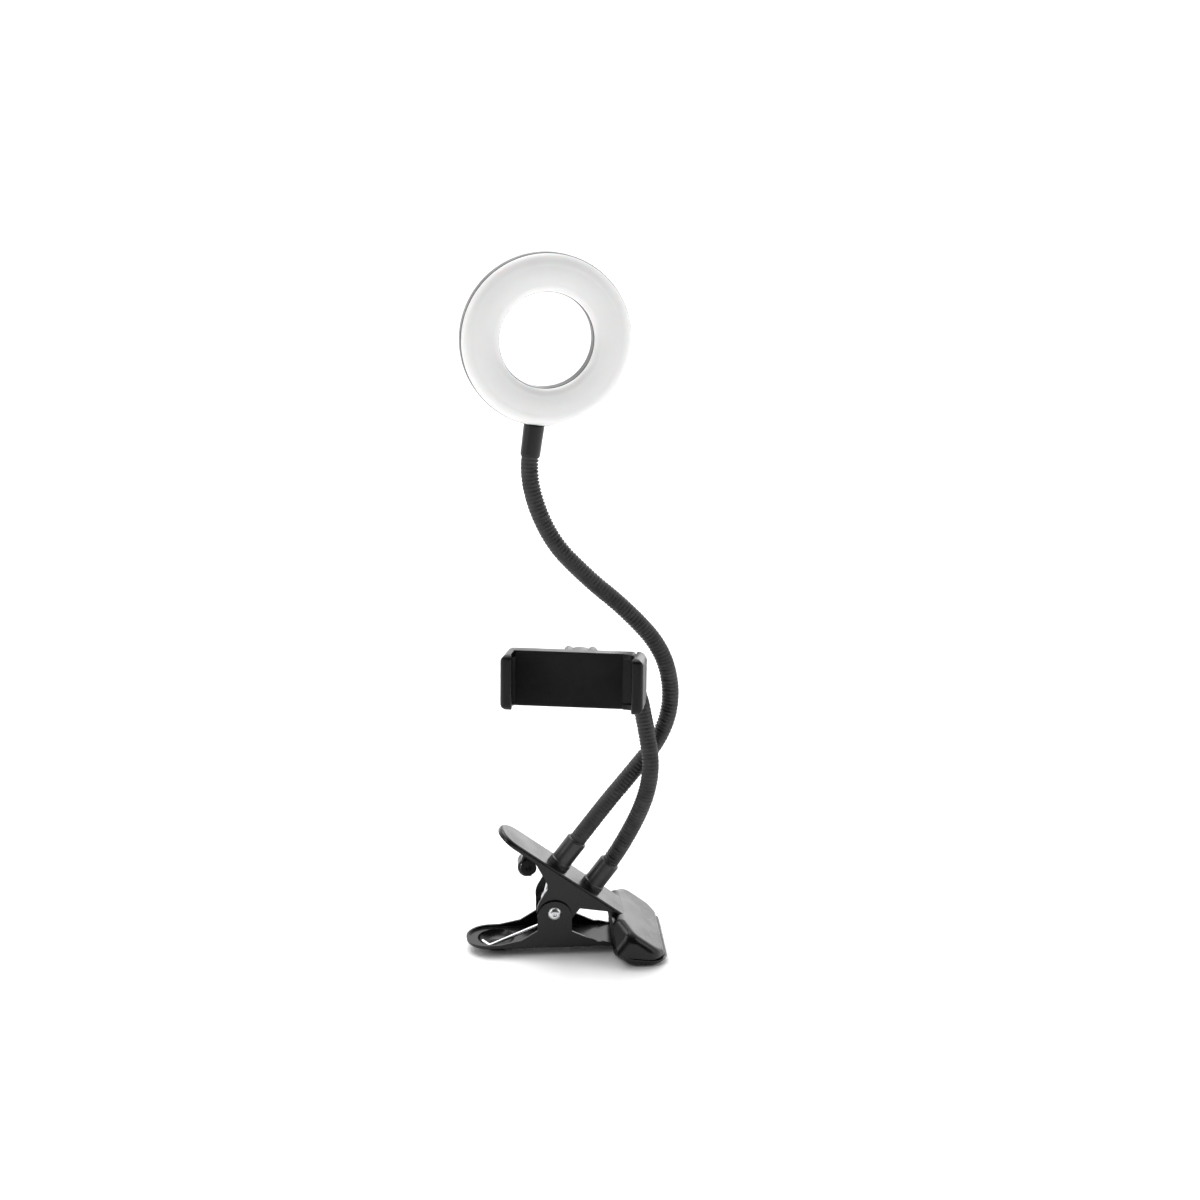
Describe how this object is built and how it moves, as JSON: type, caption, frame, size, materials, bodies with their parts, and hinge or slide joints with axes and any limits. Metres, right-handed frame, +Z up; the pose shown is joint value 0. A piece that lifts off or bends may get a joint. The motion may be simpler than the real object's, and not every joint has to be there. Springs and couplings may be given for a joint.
{
  "type": "ring light",
  "caption": "Small LED ring light and sprung phone holder on two bendable goosenecks that rise from one pressed-steel spring clamp.",
  "frame": {"origin": "middle of the lower jaw's flat underside, on which the clamp rests", "axes": "+X towards the jaw tips, -Y towards the viewer of the light and the phone, +Z up"},
  "size_m": [0.1217, 0.0962, 0.3934],
  "materials": {
    "lower lever steel": "gloss black paint",
    "upper lever steel": "gloss black paint",
    "jaw rubber": "matt",
    "gland rubber": "matt",
    "rivet zinc": "bright zinc",
    "spring steel": "bright wire",
    "plated steel": "zinc plated",
    "collar black": "satin black",
    "neck sleeve": "satin charcoal, finely ribbed",
    "ring shell": "satin black",
    "diffuser": "milky white",
    "circuit board": "white solder mask",
    "led lens": "phosphor yellow",
    "resistor": "matt",
    "ball plastic": "polished",
    "liner plastic": "natural nylon",
    "holder nut": "satin",
    "holder plastic": "semi-gloss",
    "grip rubber": "matt"
  },
  "bodies": {
    "lower_clamp": {"lower_lever": "lower lever steel", "lower_jaw_pad": "jaw rubber", "pivot_rivet": "rivet zinc", "spring_spacer": "rivet zinc"},
    "upper_clamp": {"torsion_spring": "spring steel", "upper_lever": "upper lever steel", "upper_jaw_pad": "jaw rubber", "lead_gland": "gland rubber", "light_seat_nut": "collar black", "light_collar": "collar black", "light_stud": "plated steel", "light_washer": "plated steel", "light_lock_nut": "plated steel", "phone_seat_nut": "collar black", "phone_collar": "collar black", "phone_stud": "plated steel", "phone_washer": "plated steel", "phone_lock_nut": "plated steel"},
    "light_neck_low": {"light_neck_lower": "neck sleeve"},
    "light_neck_mid": {"light_neck_middle": "neck sleeve"},
    "ring_head": {"light_neck_upper": "neck sleeve", "ring_stem_collar": "ring shell", "ring_housing": "ring shell", "ring_diffuser": "diffuser", "led_board": "circuit board", "led_chips": "led lens", "led_resistors": "resistor", "board_screws": "plated steel"},
    "phone_neck_low": {"phone_neck_lower": "neck sleeve"},
    "phone_neck_up": {"phone_neck_upper": "neck sleeve", "phone_end_collar": "collar black", "ball_stud": "ball plastic"},
    "ball_cradle": {"ball_liner": "liner plastic"},
    "nut": {"locking_nut": "holder nut"},
    "holder": {"holder_back_cover": "holder plastic", "holder_frame": "holder plastic", "fixed_jaw_pad": "grip rubber", "plate_pad": "grip rubber", "guide_rods": "plated steel", "return_springs": "spring steel", "holder_screws": "plated steel"},
    "jaw": {"sliding_jaw": "holder plastic", "sliding_jaw_pad": "grip rubber"}
  },
  "joints": [
    {"name": "clamp_open", "type": "hinge", "parent": "lower_clamp", "child": "upper_clamp", "pos_m": [-0.048, 0, 0.0255], "axis": [0, -1, 0], "range_deg": [0, 38], "stiffness_Nm_per_rad": 0.7, "springref_deg": -74.48, "deforming": ["torsion_spring"]},
    {"name": "light_base_bend", "type": "hinge", "parent": "upper_clamp", "child": "light_neck_low", "pos_m": [-0.03324, 0, 0.06546], "axis": [0, 1, 0], "range_deg": [-5, 6]},
    {"name": "light_middle_bend", "type": "hinge", "parent": "light_neck_low", "child": "light_neck_mid", "pos_m": [0.0168, 0.0055, 0.1615], "axis": [0, 1, 0], "range_deg": [-26, 30]},
    {"name": "light_nod", "type": "hinge", "parent": "light_neck_mid", "child": "ring_head", "pos_m": [-0.05482, -0.00097, 0.25634], "axis": [1, 0, 0], "range_deg": [-30, 30]},
    {"name": "phone_base_bend", "type": "hinge", "parent": "upper_clamp", "child": "phone_neck_low", "pos_m": [-0.01459, 0, 0.05166], "axis": [1, 0, 0], "range_deg": [0, 30]},
    {"name": "phone_top_bend", "type": "hinge", "parent": "phone_neck_low", "child": "phone_neck_up", "pos_m": [0.00625, -0.007, 0.118], "axis": [0, 1, 0], "range_deg": [-25, 6]},
    {"name": "ball_swing", "type": "hinge", "parent": "phone_neck_up", "child": "ball_cradle", "pos_m": [-0.0339, -0.0224, 0.171], "axis": [0.0192, 0.1027, 0.9945], "range_deg": [-62, 2]},
    {"name": "ball_tilt", "type": "hinge", "parent": "ball_cradle", "child": "nut", "pos_m": [-0.0339, -0.0224, 0.171], "axis": [0.9829, -0.184, 0], "range_deg": [-18, 14]},
    {"name": "holder_roll", "type": "hinge", "parent": "nut", "child": "holder", "pos_m": [-0.0339, -0.0224, 0.171], "axis": [-0.1829, -0.9776, 0.1045], "range_deg": [-90, 90]},
    {"name": "jaw_slide", "type": "slide", "parent": "holder", "child": "jaw", "axis": [0.9829, -0.184, 0], "range_m": [0, 0.025], "stiffness_N_per_m": 60, "springref_m": -0.03, "deforming": ["return_springs"]}
  ]
}
